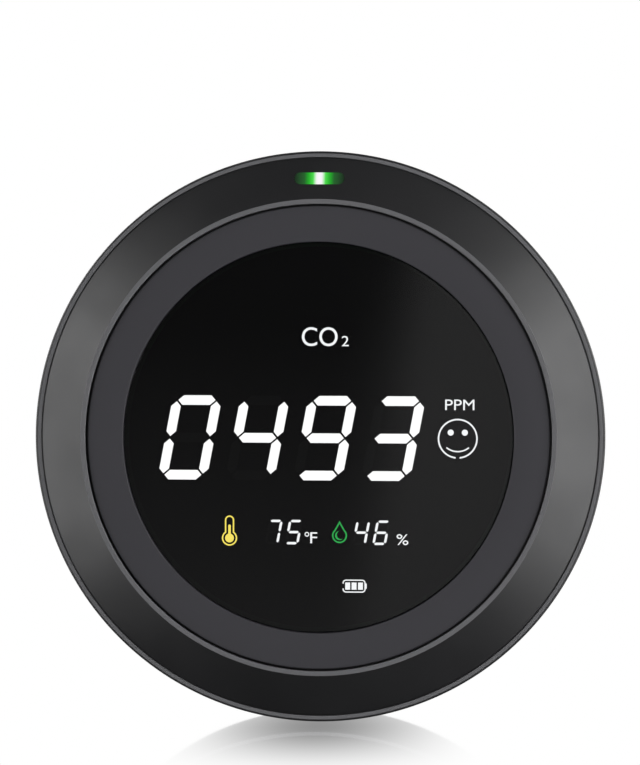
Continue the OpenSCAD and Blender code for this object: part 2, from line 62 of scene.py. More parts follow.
# %% [markdown]
# ## Where things are
#
# The monitor leans back a little, so its parts are easiest to think of in the face's own axes: x to
# the right, y up and z out of the face, in millimetres, with z = 0 at the front lip. A depth is a
# distance back from there. The wall keyhole is a mount in the record, so its place and direction fix
# those axes.

# %% The face's axes
MM = 0.001
KEYHOLE_Y = 24
KEYHOLE_AT = Vector((0, KEYHOLE_Y, -33)) * MM

lean = math.asin(-mounts["wall_keyhole"]["axis"][2])
upright = Matrix.Rotation(math.radians(90) - lean, 4, "X")
face_origin = Vector(mounts["wall_keyhole"]["pos_m"]) - upright.to_3x3() @ KEYHOLE_AT
FACE = Matrix.Translation(face_origin) @ upright @ Matrix.Scale(MM, 4)
print("lean", round(math.degrees(lean), 2), "degrees, face origin", [round(v, 4) for v in face_origin])

# %% Sizes in millimetres, read from the frame where it holds them
BODY_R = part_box("front_bezel")[1].x / MM
COVER_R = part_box("rear_cover")[1].x / MM
SURROUND_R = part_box("display_surround")[1].x / MM
FLANGE_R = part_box("front_lens")[1].x / MM
WINDOW_R = FLANGE_R - 3
LIP_IN = SURROUND_R + 0.3
LIP_OUT = LIP_IN + 0.8
BAND_OUT = BODY_R - 1.1
BAND_DROP = 4
RING_DEPTH = 0.5
WINDOW_DEPTH = 0.8
FLANGE_DEPTH = 2.1
LIGHT_W = 2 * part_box("status_light_guide")[1].x / MM
JOINT_DEPTH = 12
BODY_DEPTH = 34
SCREW_RING = 37.5
SIDE_DEPTH = 16.4
print("body", BODY_R, "cover", COVER_R, "ring", SURROUND_R, "window", WINDOW_R)

# %% [markdown]
# ## Camera
#
# A long lens keeps the round body round. The camera stands a little above the face's own axis, and
# its shift, not a tilt, leaves room above the body.

# %% Camera
LENS = 150
SENSOR = 36
FRAME_TO_BODY = 1.341
RIM_PLANE = -4.5
camera_turn = math.radians(3.3)
camera_rise = lean + math.radians(2)

camera = bpy.data.objects.new("camera", bpy.data.cameras.new("camera"))
scene.collection.objects.link(camera)
scene.camera = camera
camera.data.lens = LENS
camera.data.sensor_width = SENSOR
camera.data.shift_x = 0.0011
camera.data.shift_y = 0.0715
camera.data.clip_start = 0.01
target = FACE @ Vector((0, 0, RIM_PLANE))
away = Vector((math.sin(camera_turn) * math.cos(camera_rise),
               -math.cos(camera_turn) * math.cos(camera_rise), math.sin(camera_rise)))
camera.location = target + away * (2 * BODY_R * MM * FRAME_TO_BODY * LENS / SENSOR)
camera.rotation_euler = away.to_track_quat("Z", "Y").to_euler()
print("camera is", round((camera.location - target).length, 3), "m away")

# %% [markdown]
# ## Colour and node helpers
#
# Colours are written as the hex values that a screen shows, and one function turns them to the
# linear values that shaders want. The other adds a node with its settings and its links, and works
# in shader trees and in geometry trees.


# %% Helpers for nodes
def linear(hex_colour):
    """Linear RGBA of an sRGB hex colour."""
    channels = [int(hex_colour[i:i + 2], 16) / 255 for i in (1, 3, 5)]
    return (*[c / 12.92 if c <= 0.04045 else ((c + 0.055) / 1.055) ** 2.4 for c in channels], 1)


def add_node(tree, kind, inputs=None, **settings):
    """Adds a node, sets its properties, and sets or links its inputs."""
    node = tree.nodes.new(kind)
    for name, value in settings.items():
        setattr(node, name, value)
    for name, value in (inputs or {}).items():
        if isinstance(value, bpy.types.NodeSocket):
            tree.links.new(value, node.inputs[name])
        else:
            node.inputs[name].default_value = value
    return node


def per_mm(size):
    """Texture scale at which one pattern cell is so many millimetres."""
    return 1 / (size * MM)


# %% [markdown]
# ## Table, world and lamps
#
# The table is glossy white and overexposed, so it shows only a short reflection of the object's foot,
# which fades out sooner across than along, and only to an eye that is low: Layer Weight gives how
# much the table is seen at a glance. It gives no light to the object, whose lower half stays dark.


# %% Table
def emitter(name, strength):
    """Material that only gives light, and its tree and emission node."""
    material = bpy.data.materials.new(name)
    material.use_nodes = True
    tree = material.node_tree
    tree.nodes.clear()
    glow = add_node(tree, "ShaderNodeEmission", {"Strength": strength})
    output = add_node(tree, "ShaderNodeOutputMaterial", {"Surface": glow.outputs[0]})
    return material, tree, glow, output


def flat_sheet(name, corners, material):
    """One flat sheet of the stage."""
    mesh = bpy.data.meshes.new(name)
    mesh.from_pydata(corners, [], [range(len(corners))])
    mesh.materials.append(material)
    sheet = bpy.data.objects.new(name, mesh)
    scene.collection.objects.link(sheet)
    return sheet


FADE_ACROSS = 30
FADE_ALONG = 44
table_white, tree, white, output = emitter("glossy_white_laminate", 1.0)
mirror = add_node(tree, "ShaderNodeBsdfGlossy", {"Color": (1, 1, 1, 1), "Roughness": 0.05})
place = add_node(tree, "ShaderNodeTexCoord").outputs["Object"]
from_foot = add_node(tree, "ShaderNodeVectorMath", {0: place, 1: (0, face_origin.y, 0)},
                     operation="SUBTRACT").outputs[0]
both_sides = add_node(tree, "ShaderNodeVectorMath", {0: from_foot}, operation="ABSOLUTE").outputs[0]
across, along, _ = add_node(tree, "ShaderNodeSeparateXYZ", {0: both_sides}).outputs
fades = [add_node(tree, "ShaderNodeMapRange", {
    "Value": value, "From Min": far * MM, "From Max": 0.0, "To Min": 0.0, "To Max": 1.0},
    interpolation_type="SMOOTHSTEP").outputs[0] for value, far in ((across, FADE_ACROSS),
                                                                  (along, FADE_ALONG))]
near = add_node(tree, "ShaderNodeMath", {0: fades[0], 1: fades[1]}, operation="MULTIPLY").outputs[0]
glance = add_node(tree, "ShaderNodeLayerWeight", {"Blend": 0.5}).outputs["Facing"]
gloss = add_node(tree, "ShaderNodeMapRange", {
    "Value": glance, "From Min": 0.45, "From Max": 0.9, "To Min": 0.0, "To Max": 0.92}).outputs[0]
share = add_node(tree, "ShaderNodeMath", {0: near, 1: gloss}, operation="MULTIPLY").outputs[0]
mixed = add_node(tree, "ShaderNodeMixShader", {0: share, 1: white.outputs[0], 2: mirror.outputs[0]})
tree.links.new(mixed.outputs[0], output.inputs["Surface"])
table = flat_sheet("table", [(-3, -3, 0), (3, -3, 0), (3, 3, 0), (-3, 3, 0)], table_white)
table.visible_diffuse = False
table.visible_glossy = False
print("table is laid")

# %% [markdown]
# A low wall of white paper stands all round, out of sight, and is what the table reflects. It reaches
# only 30 degrees up, so the top and the bottom of the sloping band don't see it.

# %% Paper wall
WALL_R = 2.6
WALL_H = 1.5
paper = emitter("white_paper", 1.0)[0]
for k in range(12):
    ends = [(WALL_R * math.cos(a), WALL_R * math.sin(a)) for a in
            (math.radians(30 * k), math.radians(30 * k + 30))]
    sheet = flat_sheet(f"paper_wall_{k + 1}", [(*ends[0], 0), (*ends[1], 0), (*ends[1], WALL_H),
                                               (*ends[0], WALL_H)], paper)
    sheet.visible_camera = False
    sheet.visible_diffuse = False
    sheet.visible_shadow = False

# %% [markdown]
# The window is a mirror, and what it shows is a card in front of it, which only mirror rays see. The
# card is lit unevenly, brighter on the right and darker at the top. It is placed in the face's own
# axes, and a Mapping node turns its coordinates into window units, from -1 to 1.

# %% Card in front of the window
CARD_AT = 620
CARD_HALF = 500
camera_at = FACE.inverted() @ camera.location
magnified = (CARD_AT + camera_at.z) / camera_at.z
seen_from = Vector((camera_at.x, camera_at.y, 0)) * (1 - magnified)
card_middle = FACE @ Vector((seen_from.x, seen_from.y, CARD_AT))
unit = WINDOW_R * MM * magnified

card_light, tree, glow, output = emitter("lit_card", 1.0)
place = add_node(tree, "ShaderNodeTexCoord").outputs["Object"]
window_units = add_node(tree, "ShaderNodeMapping", {
    "Vector": place, "Location": -card_middle / unit, "Scale": (1 / unit,) * 3})
across, _, up = add_node(tree, "ShaderNodeSeparateXYZ", {0: window_units.outputs[0]}).outputs
right = add_node(tree, "ShaderNodeMath", {0: across, 1: 0.0}, operation="MAXIMUM").outputs[0]
tilted = add_node(tree, "ShaderNodeMath", {0: up, 1: -0.1, 2: right}, operation="MULTIPLY_ADD").outputs[0]
side_light = add_node(tree, "ShaderNodeMath", {0: tilted, 1: 3.0}, operation="POWER").outputs[0]
base = add_node(tree, "ShaderNodeMath", {0: up, 1: -0.11, 2: 0.17}, operation="MULTIPLY_ADD").outputs[0]
total = add_node(tree, "ShaderNodeMath", {0: side_light, 1: 0.5, 2: base},
                 operation="MULTIPLY_ADD").outputs[0]
limited = add_node(tree, "ShaderNodeClamp", {0: total, 1: 0.03, 2: 0.8}).outputs[0]
tree.links.new(limited, glow.inputs["Strength"])
card = flat_sheet("light_card", [FACE @ Vector((x * CARD_HALF, y * CARD_HALF, CARD_AT))
                                 for x, y in ((-1, -1), (1, -1), (1, 1), (-1, 1))], card_light)
card.visible_camera = False
card.visible_diffuse = False
card.visible_shadow = False
print("card is magnified", round(magnified, 2), "times by the window")

# %% [markdown]
# The world is white to the eye, and a weak grey to everything else.

# %% World
world = bpy.data.worlds.new("studio")
scene.world = world
world.use_nodes = True
world.node_tree.nodes.clear()
sees = add_node(world.node_tree, "ShaderNodeLightPath").outputs["Is Camera Ray"]
strength = add_node(world.node_tree, "ShaderNodeMix", {0: sees, 2: 0.115, 3: 1.0}, data_type="FLOAT")
sky = add_node(world.node_tree, "ShaderNodeBackground", {"Color": (1, 1, 1, 1),
                                                         "Strength": strength.outputs[0]})
add_node(world.node_tree, "ShaderNodeOutputWorld", {"Surface": sky.outputs[0]})

# %% [markdown]
# Two tall softboxes stand left and right, the right one a little brighter. They draw the bright
# flanks of the sloping band and leave its top and bottom dark. Two more behind light the back.


# %% Lamps
def softbox(name, turn, rise, distance, size, radiance):
    """Area lamp aimed at the middle of the body, at a turn and a rise in degrees."""
    lamp = bpy.data.objects.new(name, bpy.data.lights.new(name, "AREA"))
    lamp.data.shape = "RECTANGLE"
    lamp.data.size, lamp.data.size_y = size
    lamp.data.energy = radiance * math.pi * size[0] * size[1]
    a, e = math.radians(turn), math.radians(rise)
    out = Vector((math.sin(a) * math.cos(e), -math.cos(a) * math.cos(e), math.sin(e)))
    lamp.location = target + out * distance
    lamp.rotation_euler = out.to_track_quat("Z", "Y").to_euler()
    scene.collection.objects.link(lamp)


FRONT_TURN = 64
softbox("softbox_right", FRONT_TURN, 3, 0.75, (0.42, 0.92), 5.3)
softbox("softbox_left", -FRONT_TURN, 4, 0.75, (0.42, 0.84), 3.6)
softbox("back_right", 142, 25, 0.8, (0.5, 0.5), 5.0)
softbox("back_left", -138, 32, 0.8, (0.5, 0.5), 7.0)

# %% [markdown]
# ## Materials
#
# Each finish starts as a Principled shader with plain values. Object coordinates then drive a little
# grain or variation, at the size of the real one. The grain of a moulded part is 0.1 to 0.3 mm, which
# is finer than a render shows from here, so the coarser end is used.


# %% A material with object coordinates ready to use
def new_material(name, **values):
    """A material, its tree, its shader and its object coordinates."""
    material = bpy.data.materials.new(name)
    material.use_nodes = True
    tree = material.node_tree
    tree.nodes.clear()
    shader = add_node(tree, "ShaderNodeBsdfPrincipled", values)
    add_node(tree, "ShaderNodeOutputMaterial", {"Surface": shader.outputs[0]})
    place = add_node(tree, "ShaderNodeTexCoord").outputs["Object"]
    return material, tree, shader, place


def grained(name, colour, roughness, grain, depth, spread=0.05, tint=0.1, **values):
    """Moulded or cast surface: grain of a size and depth in mm, with uneven gloss and a faint tint."""
    material, tree, shader, place = new_material(name, Roughness=roughness, **values)
    fine = add_node(tree, "ShaderNodeTexNoise",
                    {"Vector": place, "Scale": per_mm(grain), "Detail": 3, "Roughness": 0.6})
    broad = add_node(tree, "ShaderNodeTexNoise", {"Vector": place, "Scale": per_mm(14), "Detail": 2})
    gloss = add_node(tree, "ShaderNodeMapRange", {
        "Value": broad.outputs["Fac"], "From Min": 0.3, "From Max": 0.7,
        "To Min": roughness - spread, "To Max": roughness + spread})
    dark = [c * (1 - tint) for c in linear(colour)[:3]] + [1]
    light = [c * (1 + tint) for c in linear(colour)[:3]] + [1]
    mixed = add_node(tree, "ShaderNodeMix", {0: fine.outputs["Fac"], 6: dark, 7: light},
                     data_type="RGBA")
    bump = add_node(tree, "ShaderNodeBump",
                    {"Height": fine.outputs["Fac"], "Strength": 0.6, "Distance": depth * MM})
    tree.links.new(mixed.outputs[2], shader.inputs["Base Color"])
    tree.links.new(gloss.outputs[0], shader.inputs["Roughness"])
    tree.links.new(bump.outputs[0], shader.inputs["Normal"])
    return material


# %% [markdown]
# The shell is ABS, painted dark grey: the paint is nearly black where no lamp stands, and it brightens
# widely where it faces one. The two flat lips get a paler, smoother paint: a painted highlight for the
# light their rounded edges catch, since they really wear the same dark paint as the band. The rear
# cover and the stand are bare ABS from a spark-eroded mould, which is duller and coarser. The ring is
# bead blasted, so that it stays evenly dark.

# %% Shell finishes
shell_paint = grained("dark_paint_on_abs", "#1d1d1f", 0.42, 0.22, 0.012, tint=0.2)
# The lips' lighter grey is a painted highlight: it is the band's paint, lightened where the edges catch
# the lamps.
lips_painted_highlight = grained("pale_paint_on_abs", "#6a6a6d", 0.45, 0.25, 0.008)
cover_plastic = grained("textured_abs", "#29292b", 0.5, 0.3, 0.03)
surround_plastic = grained("bead_blasted_polycarbonate", "#302f35", 0.62, 0.12, 0.008, spread=0.03)
rubber = grained("moulded_silicone_rubber", "#141415", 0.75, 0.2, 0.03)
print("shell finishes made")

# %% [markdown]
# The window is smoked acrylic, polished like glass. Its smoke is a plain alpha, so what is lit behind
# it shows and the black film doesn't.


# %% Window
WINDOW_SMOKE = 0.55


def smoked_acrylic():
    """Glossy black acrylic that lets light through by its alpha."""
    material, tree, shader, place = new_material("smoked_acrylic", Roughness=0.1, IOR=1.49,
                                                 Alpha=WINDOW_SMOKE)
    shader.inputs["Base Color"].default_value = linear("#050506")
    wave = add_node(tree, "ShaderNodeTexNoise", {"Vector": place, "Scale": per_mm(25), "Detail": 1})
    bump = add_node(tree, "ShaderNodeBump",
                    {"Height": wave.outputs["Fac"], "Strength": 0.1, "Distance": 0.01 * MM})
    tree.links.new(bump.outputs[0], shader.inputs["Normal"])
    return material


window_acrylic = smoked_acrylic()
display_film = grained("printed_black_film", "#040405", 0.9, 0.5, 0.002, **{"Specular IOR Level": 0.05})
display_block = grained("black_display_moulding", "#101011", 0.6, 0.25, 0.02)
unlit_epoxy = grained("unlit_diffuser_epoxy", "#040405", 0.5, 0.4, 0.01)


# %% [markdown]
# Each lit shape is a bar of cloudy epoxy over an LED die, so its light is even. The light passes both
# faces of the smoked window, so each bar is as much brighter as the window takes away, and its colour
# is the one that shows.


# %% Lit bars
SHOWN_LIGHT = 1.02


def lit_epoxy(name, body, light):
    """Cloudy epoxy over an LED die, whose light shows in its colour through the window."""
    material, tree, shader, place = new_material(name, Roughness=0.45)
    shader.inputs["Emission Color"].default_value = linear(light)
    shader.inputs["Emission Strength"].default_value = SHOWN_LIGHT / (1 - WINDOW_SMOKE) ** 2
    mottle = add_node(tree, "ShaderNodeTexNoise", {"Vector": place, "Scale": per_mm(0.5), "Detail": 2})
    mixed = add_node(tree, "ShaderNodeMix", {0: mottle.outputs["Fac"], 6: linear(body),
                                             7: linear(light)}, data_type="RGBA")
    tree.links.new(mixed.outputs[2], shader.inputs["Base Color"])
    return material


white_light = lit_epoxy("lit_white_epoxy", "#d9dad6", "#ffffff")
soft_white_light = lit_epoxy("lit_soft_white_epoxy", "#d0d2d2", "#f2f4f6")
yellow_light = lit_epoxy("lit_yellow_epoxy", "#d8b840", "#f2df62")
green_light = lit_epoxy("lit_green_epoxy", "#30a050", "#2a9e4a")


# %% [markdown]
# The status light is a clear bar with one small LED under its middle. It is white hot in the middle,
# bright green beside that, and it dies away towards its ends. A colour ramp on the distance from the
# middle gives that.


# %% Status light
def status_glow():
    """Green light that fades away from the middle of the bar, along x."""
    material, tree, shader, place = new_material("lit_clear_guide", Roughness=0.25, IOR=1.49)
    across = add_node(tree, "ShaderNodeSeparateXYZ", {0: place}).outputs[0]
    distance = add_node(tree, "ShaderNodeMath", {0: across}, operation="ABSOLUTE").outputs[0]
    share = add_node(tree, "ShaderNodeMath", {0: distance, 1: LIGHT_W / 2 * MM},
                     operation="DIVIDE").outputs[0]
    ramp = add_node(tree, "ShaderNodeValToRGB", {0: share})
    stops = [(0.0, "#fdf6fd"), (0.1, "#f4f2f4"), (0.17, "#b4ecb4"), (0.24, "#4cd84c"),
             (0.4, "#23ae27"), (0.5, "#1d8a24"), (0.58, "#215f27"), (0.84, "#1a3c1e"), (1.0, "#101810")]
    while len(ramp.color_ramp.elements) < len(stops):
        ramp.color_ramp.elements.new(0.5)
    for element, (at, colour) in zip(ramp.color_ramp.elements, stops):
        element.position = at
        element.color = linear(colour)
    shader.inputs["Base Color"].default_value = linear("#0c1a10")
    shader.inputs["Emission Strength"].default_value = 1.0
    tree.links.new(ramp.outputs[0], shader.inputs["Emission Color"])
    return material


status_light = status_glow()

# %% [markdown]
# Metals keep the default index of refraction. Nickel plate on the inlet is bright and a little uneven,
# the cover screws are blackened, and the gas sensor's chamber is gold plated to keep infrared light in.

# %% Metals
steel = grained("nickel_plated_steel", "#b9b8b4", 0.28, 0.3, 0.004, tint=0.05, Metallic=1.0)
black_steel = grained("black_oxide_steel", "#4a4a4c", 0.34, 0.3, 0.006, tint=0.08, Metallic=1.0)
gold = grained("gold_plated_brass", "#d9b25c", 0.25, 0.5, 0.006, tint=0.05, Metallic=1.0)
foil = grained("laminated_battery_foil", "#a9abae", 0.36, 1.6, 0.05, tint=0.05, Metallic=0.9)


# %% [markdown]
# A circuit board is glass cloth under coloured solder mask. Its copper tracks show through the mask as
# lighter lines about 0.3 mm wide, which a brick pattern stands in for.


# %% Boards and what they carry
def solder_mask(name, mask, track):
    """Solder mask with the tracks under it a shade lighter."""
    material, tree, shader, place = new_material(name, Roughness=0.32)
    tracks = add_node(tree, "ShaderNodeTexBrick", {
        "Vector": place, "Color1": linear(mask), "Color2": linear(mask), "Mortar": linear(track),
        "Scale": 1.0, "Brick Width": 4 * MM, "Row Height": 1.2 * MM, "Mortar Size": 0.15 * MM})
    bump = add_node(tree, "ShaderNodeBump",
                    {"Height": tracks.outputs["Fac"], "Strength": 0.4, "Distance": 0.03 * MM})
    tree.links.new(tracks.outputs["Color"], shader.inputs["Base Color"])
    tree.links.new(bump.outputs[0], shader.inputs["Normal"])
    return material


green_board = solder_mask("green_solder_mask", "#0c4a26", "#1c6b3a")
blue_board = solder_mask("blue_solder_mask", "#0d2c5e", "#1d4a8a")
chip_epoxy = grained("moulded_chip_epoxy", "#17171a", 0.5, 0.15, 0.01)
ivory_nylon = grained("ivory_nylon", "#d8d2bb", 0.45, 0.3, 0.01)
orange_nylon = grained("orange_acetal", "#c8551c", 0.4, 0.3, 0.01)
led_epoxy = grained("cream_led_package", "#d8d3a8", 0.4, 0.2, 0.005)
ceramic = grained("chip_ceramic", "#c9c8c0", 0.4, 0.2, 0.005)
membrane = grained("expanded_ptfe_membrane", "#e9e8e3", 0.8, 0.15, 0.02)
foam = grained("closed_cell_foam", "#cfcdbd", 0.9, 0.5, 0.08)
black_foam = grained("black_foam_tape", "#101010", 0.9, 0.4, 0.05)
red_wire = grained("red_silicone_insulation", "#a01812", 0.5, 0.4, 0.01)


# %% [markdown]
# The dust filter behind the rear vents is woven nylon, 0.5 mm from thread to thread. Two wave patterns
# at right angles, the higher of the two at each place, give the threads that cross.


# %% Woven filter
def woven_mesh():
    material, tree, shader, place = new_material("woven_nylon_mesh", Roughness=0.6)
    waves = [add_node(tree, "ShaderNodeTexWave", {"Vector": place, "Scale": per_mm(0.5) / 20},
                      bands_direction=axis).outputs["Fac"] for axis in ("X", "Z")]
    thread = add_node(tree, "ShaderNodeMath", {0: waves[0], 1: waves[1]}, operation="MAXIMUM").outputs[0]
    mixed = add_node(tree, "ShaderNodeMix", {0: thread, 6: linear("#0a0a0b"), 7: linear("#3a3a3d")},
                     data_type="RGBA")
    bump = add_node(tree, "ShaderNodeBump", {"Height": thread, "Strength": 0.8, "Distance": 0.1 * MM})
    tree.links.new(mixed.outputs[2], shader.inputs["Base Color"])
    tree.links.new(bump.outputs[0], shader.inputs["Normal"])
    return material


filter_nylon = woven_mesh()
print("materials:", len(bpy.data.materials))

# %% [markdown]
# ## Three node trees that build shapes
#
# Nearly everything here is turned, or repeats round the face or in a row, so three geometry trees do
# most of the work. The first turns an outline: the outline comes in as loose edges, with the radius
# along x and the depth along y, and is swept round a circle of radius 1.


# %% Helper for geometry trees
def new_shape_tree(name, **sockets):
    """An empty geometry tree with named inputs, and its two end nodes."""
    tree = bpy.data.node_groups.new(name, "GeometryNodeTree")
    tree.interface.new_socket("Geometry", in_out="INPUT", socket_type="NodeSocketGeometry")
    for socket, kind in sockets.items():
        tree.interface.new_socket(socket.replace("_", " ").title(), in_out="INPUT",
                                  socket_type="NodeSocket" + kind)
    tree.interface.new_socket("Geometry", in_out="OUTPUT", socket_type="NodeSocketGeometry")
    return tree, add_node(tree, "NodeGroupInput").outputs, tree.nodes.new("NodeGroupOutput")


def end_tree(tree, shape, given, end):
    """Ends a tree with real geometry and its material."""
    real = add_node(tree, "GeometryNodeRealizeInstances", {0: shape})
    finished = add_node(tree, "GeometryNodeSetMaterial",
                        {"Geometry": real.outputs[0], "Material": given["Material"]})
    tree.links.new(finished.outputs[0], end.inputs[0])


# %% Tree one: a turned outline
turned_tree, given, end = new_shape_tree("turned outline", segments="Int", material="Material")
outline = add_node(turned_tree, "GeometryNodeMeshToCurve", {0: given["Geometry"]}).outputs[0]
circle = add_node(turned_tree, "GeometryNodeCurvePrimitiveCircle",
                  {"Resolution": given["Segments"], "Radius": 1.0}).outputs[0]
swept = add_node(turned_tree, "GeometryNodeCurveToMesh", {"Curve": circle, "Profile Curve": outline})
end_tree(turned_tree, swept.outputs[0], given, end)

# %% [markdown]
# The second tree sets copies round the face. Each point's angle is worked out from its index, and the
# copy is turned by the same angle, so vents and screws all point outwards.

# %% Tree two: copies on a ring
ring_tree, given, end = new_shape_tree("copies on a ring", count="Int", radius="Float", first="Float",
                                       step="Float", height="Float", material="Material")
index = add_node(ring_tree, "GeometryNodeInputIndex").outputs[0]
degrees = add_node(ring_tree, "ShaderNodeMath", {0: index, 1: given["Step"], 2: given["First"]},
                   operation="MULTIPLY_ADD").outputs[0]
angle = add_node(ring_tree, "ShaderNodeMath", {0: degrees}, operation="RADIANS").outputs[0]
cosine = add_node(ring_tree, "ShaderNodeMath", {0: angle}, operation="COSINE").outputs[0]
sine = add_node(ring_tree, "ShaderNodeMath", {0: angle}, operation="SINE").outputs[0]
x = add_node(ring_tree, "ShaderNodeMath", {0: cosine, 1: given["Radius"]}, operation="MULTIPLY").outputs[0]
y = add_node(ring_tree, "ShaderNodeMath", {0: sine, 1: given["Radius"]}, operation="MULTIPLY").outputs[0]
spot = add_node(ring_tree, "ShaderNodeCombineXYZ", {0: x, 1: y, 2: given["Height"]}).outputs[0]
turn = add_node(ring_tree, "ShaderNodeCombineXYZ", {2: angle}).outputs[0]
points = add_node(ring_tree, "GeometryNodePoints", {"Count": given["Count"], "Position": spot}).outputs[0]
copies = add_node(ring_tree, "GeometryNodeInstanceOnPoints",
                  {"Points": points, "Instance": given["Geometry"], "Rotation": turn}).outputs[0]
end_tree(ring_tree, copies, given, end)

# %% Tree three: copies in a row
row_tree, given, end = new_shape_tree("copies in a row", count="Int", start="Vector", step="Vector",
                                      material="Material")
line = add_node(row_tree, "GeometryNodeMeshLine", {
    "Count": given["Count"], "Start Location": given["Start"], "Offset": given["Step"]}).outputs[0]
copies = add_node(row_tree, "GeometryNodeInstanceOnPoints",
                  {"Points": line, "Instance": given["Geometry"]}).outputs[0]
end_tree(row_tree, copies, given, end)
print("trees:", [t.name for t in bpy.data.node_groups])

# %% [markdown]
# A tree is run by giving it to an object as a modifier, with its inputs set by their identifiers, and
# taking the finished mesh from the evaluated object.


# %% Run a tree or a modifier, and keep the plain mesh
def evaluated(mesh, set_up):
    """Plain mesh that a modifier makes of another mesh."""
    carrier = bpy.data.objects.new("carrier", mesh)
    scene.collection.objects.link(carrier)
    set_up(carrier)
    graph = bpy.context.evaluated_depsgraph_get()
    result = bpy.data.meshes.new_from_object(carrier.evaluated_get(graph), depsgraph=graph)
    bpy.data.objects.remove(carrier)
    return result


def grown(mesh, tree, **values):
    """Runs a mesh through a geometry tree."""
    def set_up(carrier):
        modifier = carrier.modifiers.new("shape", "NODES")
        modifier.node_group = tree
        for socket in tree.interface.items_tree:
            key = socket.name.replace(" ", "_").lower()
            if socket.in_out == "INPUT" and key in values:
                modifier[socket.identifier] = values[key]
    return evaluated(mesh, set_up)


def cut(mesh, cutter):
    """One mesh with another taken out of it."""
    tool = bpy.data.objects.new("cutter", cutter)
    scene.collection.objects.link(tool)

    def set_up(carrier):
        modifier = carrier.modifiers.new("cut", "BOOLEAN")
        modifier.operation = "DIFFERENCE"
        modifier.solver = "EXACT"
        modifier.object = tool
    result = evaluated(mesh, set_up)
    bpy.data.objects.remove(tool)
    return result


# %% [markdown]
# Moulded edges are never sharp, and it is the small roundings that catch the light. So each outline
# is a list of corners with a rounding radius, and this turns every corner into a short arc.


# %% Outlines with rounded corners
def rounded(corners, steps=5, closed=True):
    """Points of an outline whose corners are (x, y, rounding)."""
    points = []
    for i, (x, y, radius) in enumerate(corners):
        corner = Vector((x, y))
        if not radius or (not closed and i in (0, len(corners) - 1)):
            points.append(corner)
            continue
        before = (Vector(corners[i - 1][:2]) - corner).normalized()
        after = (Vector(corners[(i + 1) % len(corners)][:2]) - corner).normalized()
        half = before.angle(after) / 2
        middle = corner + (before + after).normalized() * (radius / math.sin(half))
        start = corner + before * (radius / math.tan(half)) - middle
        sweep = start.angle_signed(corner + after * (radius / math.tan(half)) - middle)
        for k in range(steps + 1):
            points.append(middle + Matrix.Rotation(-sweep * k / steps, 2) @ start)
    return points


def merged(mesh):
    """The same mesh, with doubled points merged and its faces turned outwards."""
    shape = bmesh.new()
    shape.from_mesh(mesh)
    bmesh.ops.remove_doubles(shape, verts=shape.verts, dist=1e-4)
    bmesh.ops.recalc_face_normals(shape, faces=shape.faces)
    shape.to_mesh(mesh)
    return mesh


def turned(corners, finish=None, segments=192, closed=True):
    """Solid of revolution from corners of (radius, depth, rounding)."""
    points = rounded(corners, closed=closed)
    mesh = bpy.data.meshes.new("outline")
    links = [(i, i + 1) for i in range(len(points) - 1)] + ([(len(points) - 1, 0)] if closed else [])
    mesh.from_pydata([(p.x - 1, p.y, 0) for p in points], links, [])
    return merged(grown(mesh, turned_tree, segments=segments, material=finish))


def lofted(rings):
    """Closed solid through rings of points, each ring with as many points as the next."""
    count = len(rings[0])
    faces = [range(count - 1, -1, -1), range(count * (len(rings) - 1), count * len(rings))]
    for level in range(len(rings) - 1):
        for i in range(count):
            a, b = level * count + i, level * count + (i + 1) % count
            faces.append((a, b, b + count, a + count))
    mesh = bpy.data.meshes.new("loft")
    mesh.from_pydata([p for ring in rings for p in ring], [], faces)
    return merged(mesh)


def joined(*meshes):
    """Several meshes as one."""
    together = bmesh.new()
    for mesh in meshes:
        together.from_mesh(mesh)
    result = bpy.data.meshes.new("joined")
    together.to_mesh(result)
    for material in meshes[0].materials:
        result.materials.append(material)
    return result


# %% [markdown]
# Every finished piece goes through one door: it is merged, its faces are turned outwards, its true
# edges are kept sharp, and it takes its place on the frame.


# %% Finish a piece
def finished(name, mesh, matrix=FACE, body="case", slot=None, replaces=(), sharp=32):
    """Object made of a mesh, placed in the frame and riding on its body."""
    shape = bmesh.new()
    shape.from_mesh(mesh)
    bmesh.ops.transform(shape, matrix=matrix, verts=shape.verts)
    bmesh.ops.remove_doubles(shape, verts=shape.verts, dist=2e-6)
    bmesh.ops.dissolve_degenerate(shape, edges=shape.edges, dist=1e-7)
    bmesh.ops.recalc_face_normals(shape, faces=shape.faces)
    for face in shape.faces:
        face.smooth = True
    for edge in shape.edges:
        edge.smooth = edge.calc_face_angle(0) < math.radians(sharp)
    result = bpy.data.meshes.new(name)
    shape.to_mesh(result)
    for material in mesh.materials:
        result.materials.append(material)
    piece = bpy.data.objects.new(name, result)
    scene.collection.objects.link(piece)
    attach(piece, body)
    if replaces:
        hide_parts(*replaces)
    print(name, len(shape.verts), "points,", sum(not e.is_manifold for e in shape.edges), "open edges")
    return piece


# %% [markdown]
# ## The front shell
#
# The face of the real shell is one moulding: a flat inner lip, a band that slopes back by 4 mm, a fine
# groove, a flat outer lip and the rim. A turned outline gives all of it. The slot for the status light
# is then cut through the band, with its mouth flared by a hair.

# %% Cutter for a slot
LIGHT_Y = (LIP_OUT + BAND_OUT) / 2


def slot_ring(length, width, z, steps=8):
    """Points round a slot that lies along x, at a height z."""
    reach, r = (length - width) / 2, width / 2
    return [Vector((s * reach + r * math.cos(a), r * math.sin(a), z))
            for s, first in ((1, -90), (-1, 90))
            for a in (math.radians(first + 180 * k / steps) for k in range(steps + 1))]


def slot_cutter(length, width, inside, surface, flare, outside):
    """Cutter for a slot whose mouth widens by a flare at the surface."""
    return lofted([slot_ring(length, width, inside), slot_ring(length, width, surface - flare),
                   slot_ring(length + 2 * flare + 2 * (outside - surface),
                             width + 2 * flare + 2 * (outside - surface), outside)])


def moved(mesh, matrix):
    """The same mesh after a move."""
    mesh.transform(matrix)
    return mesh


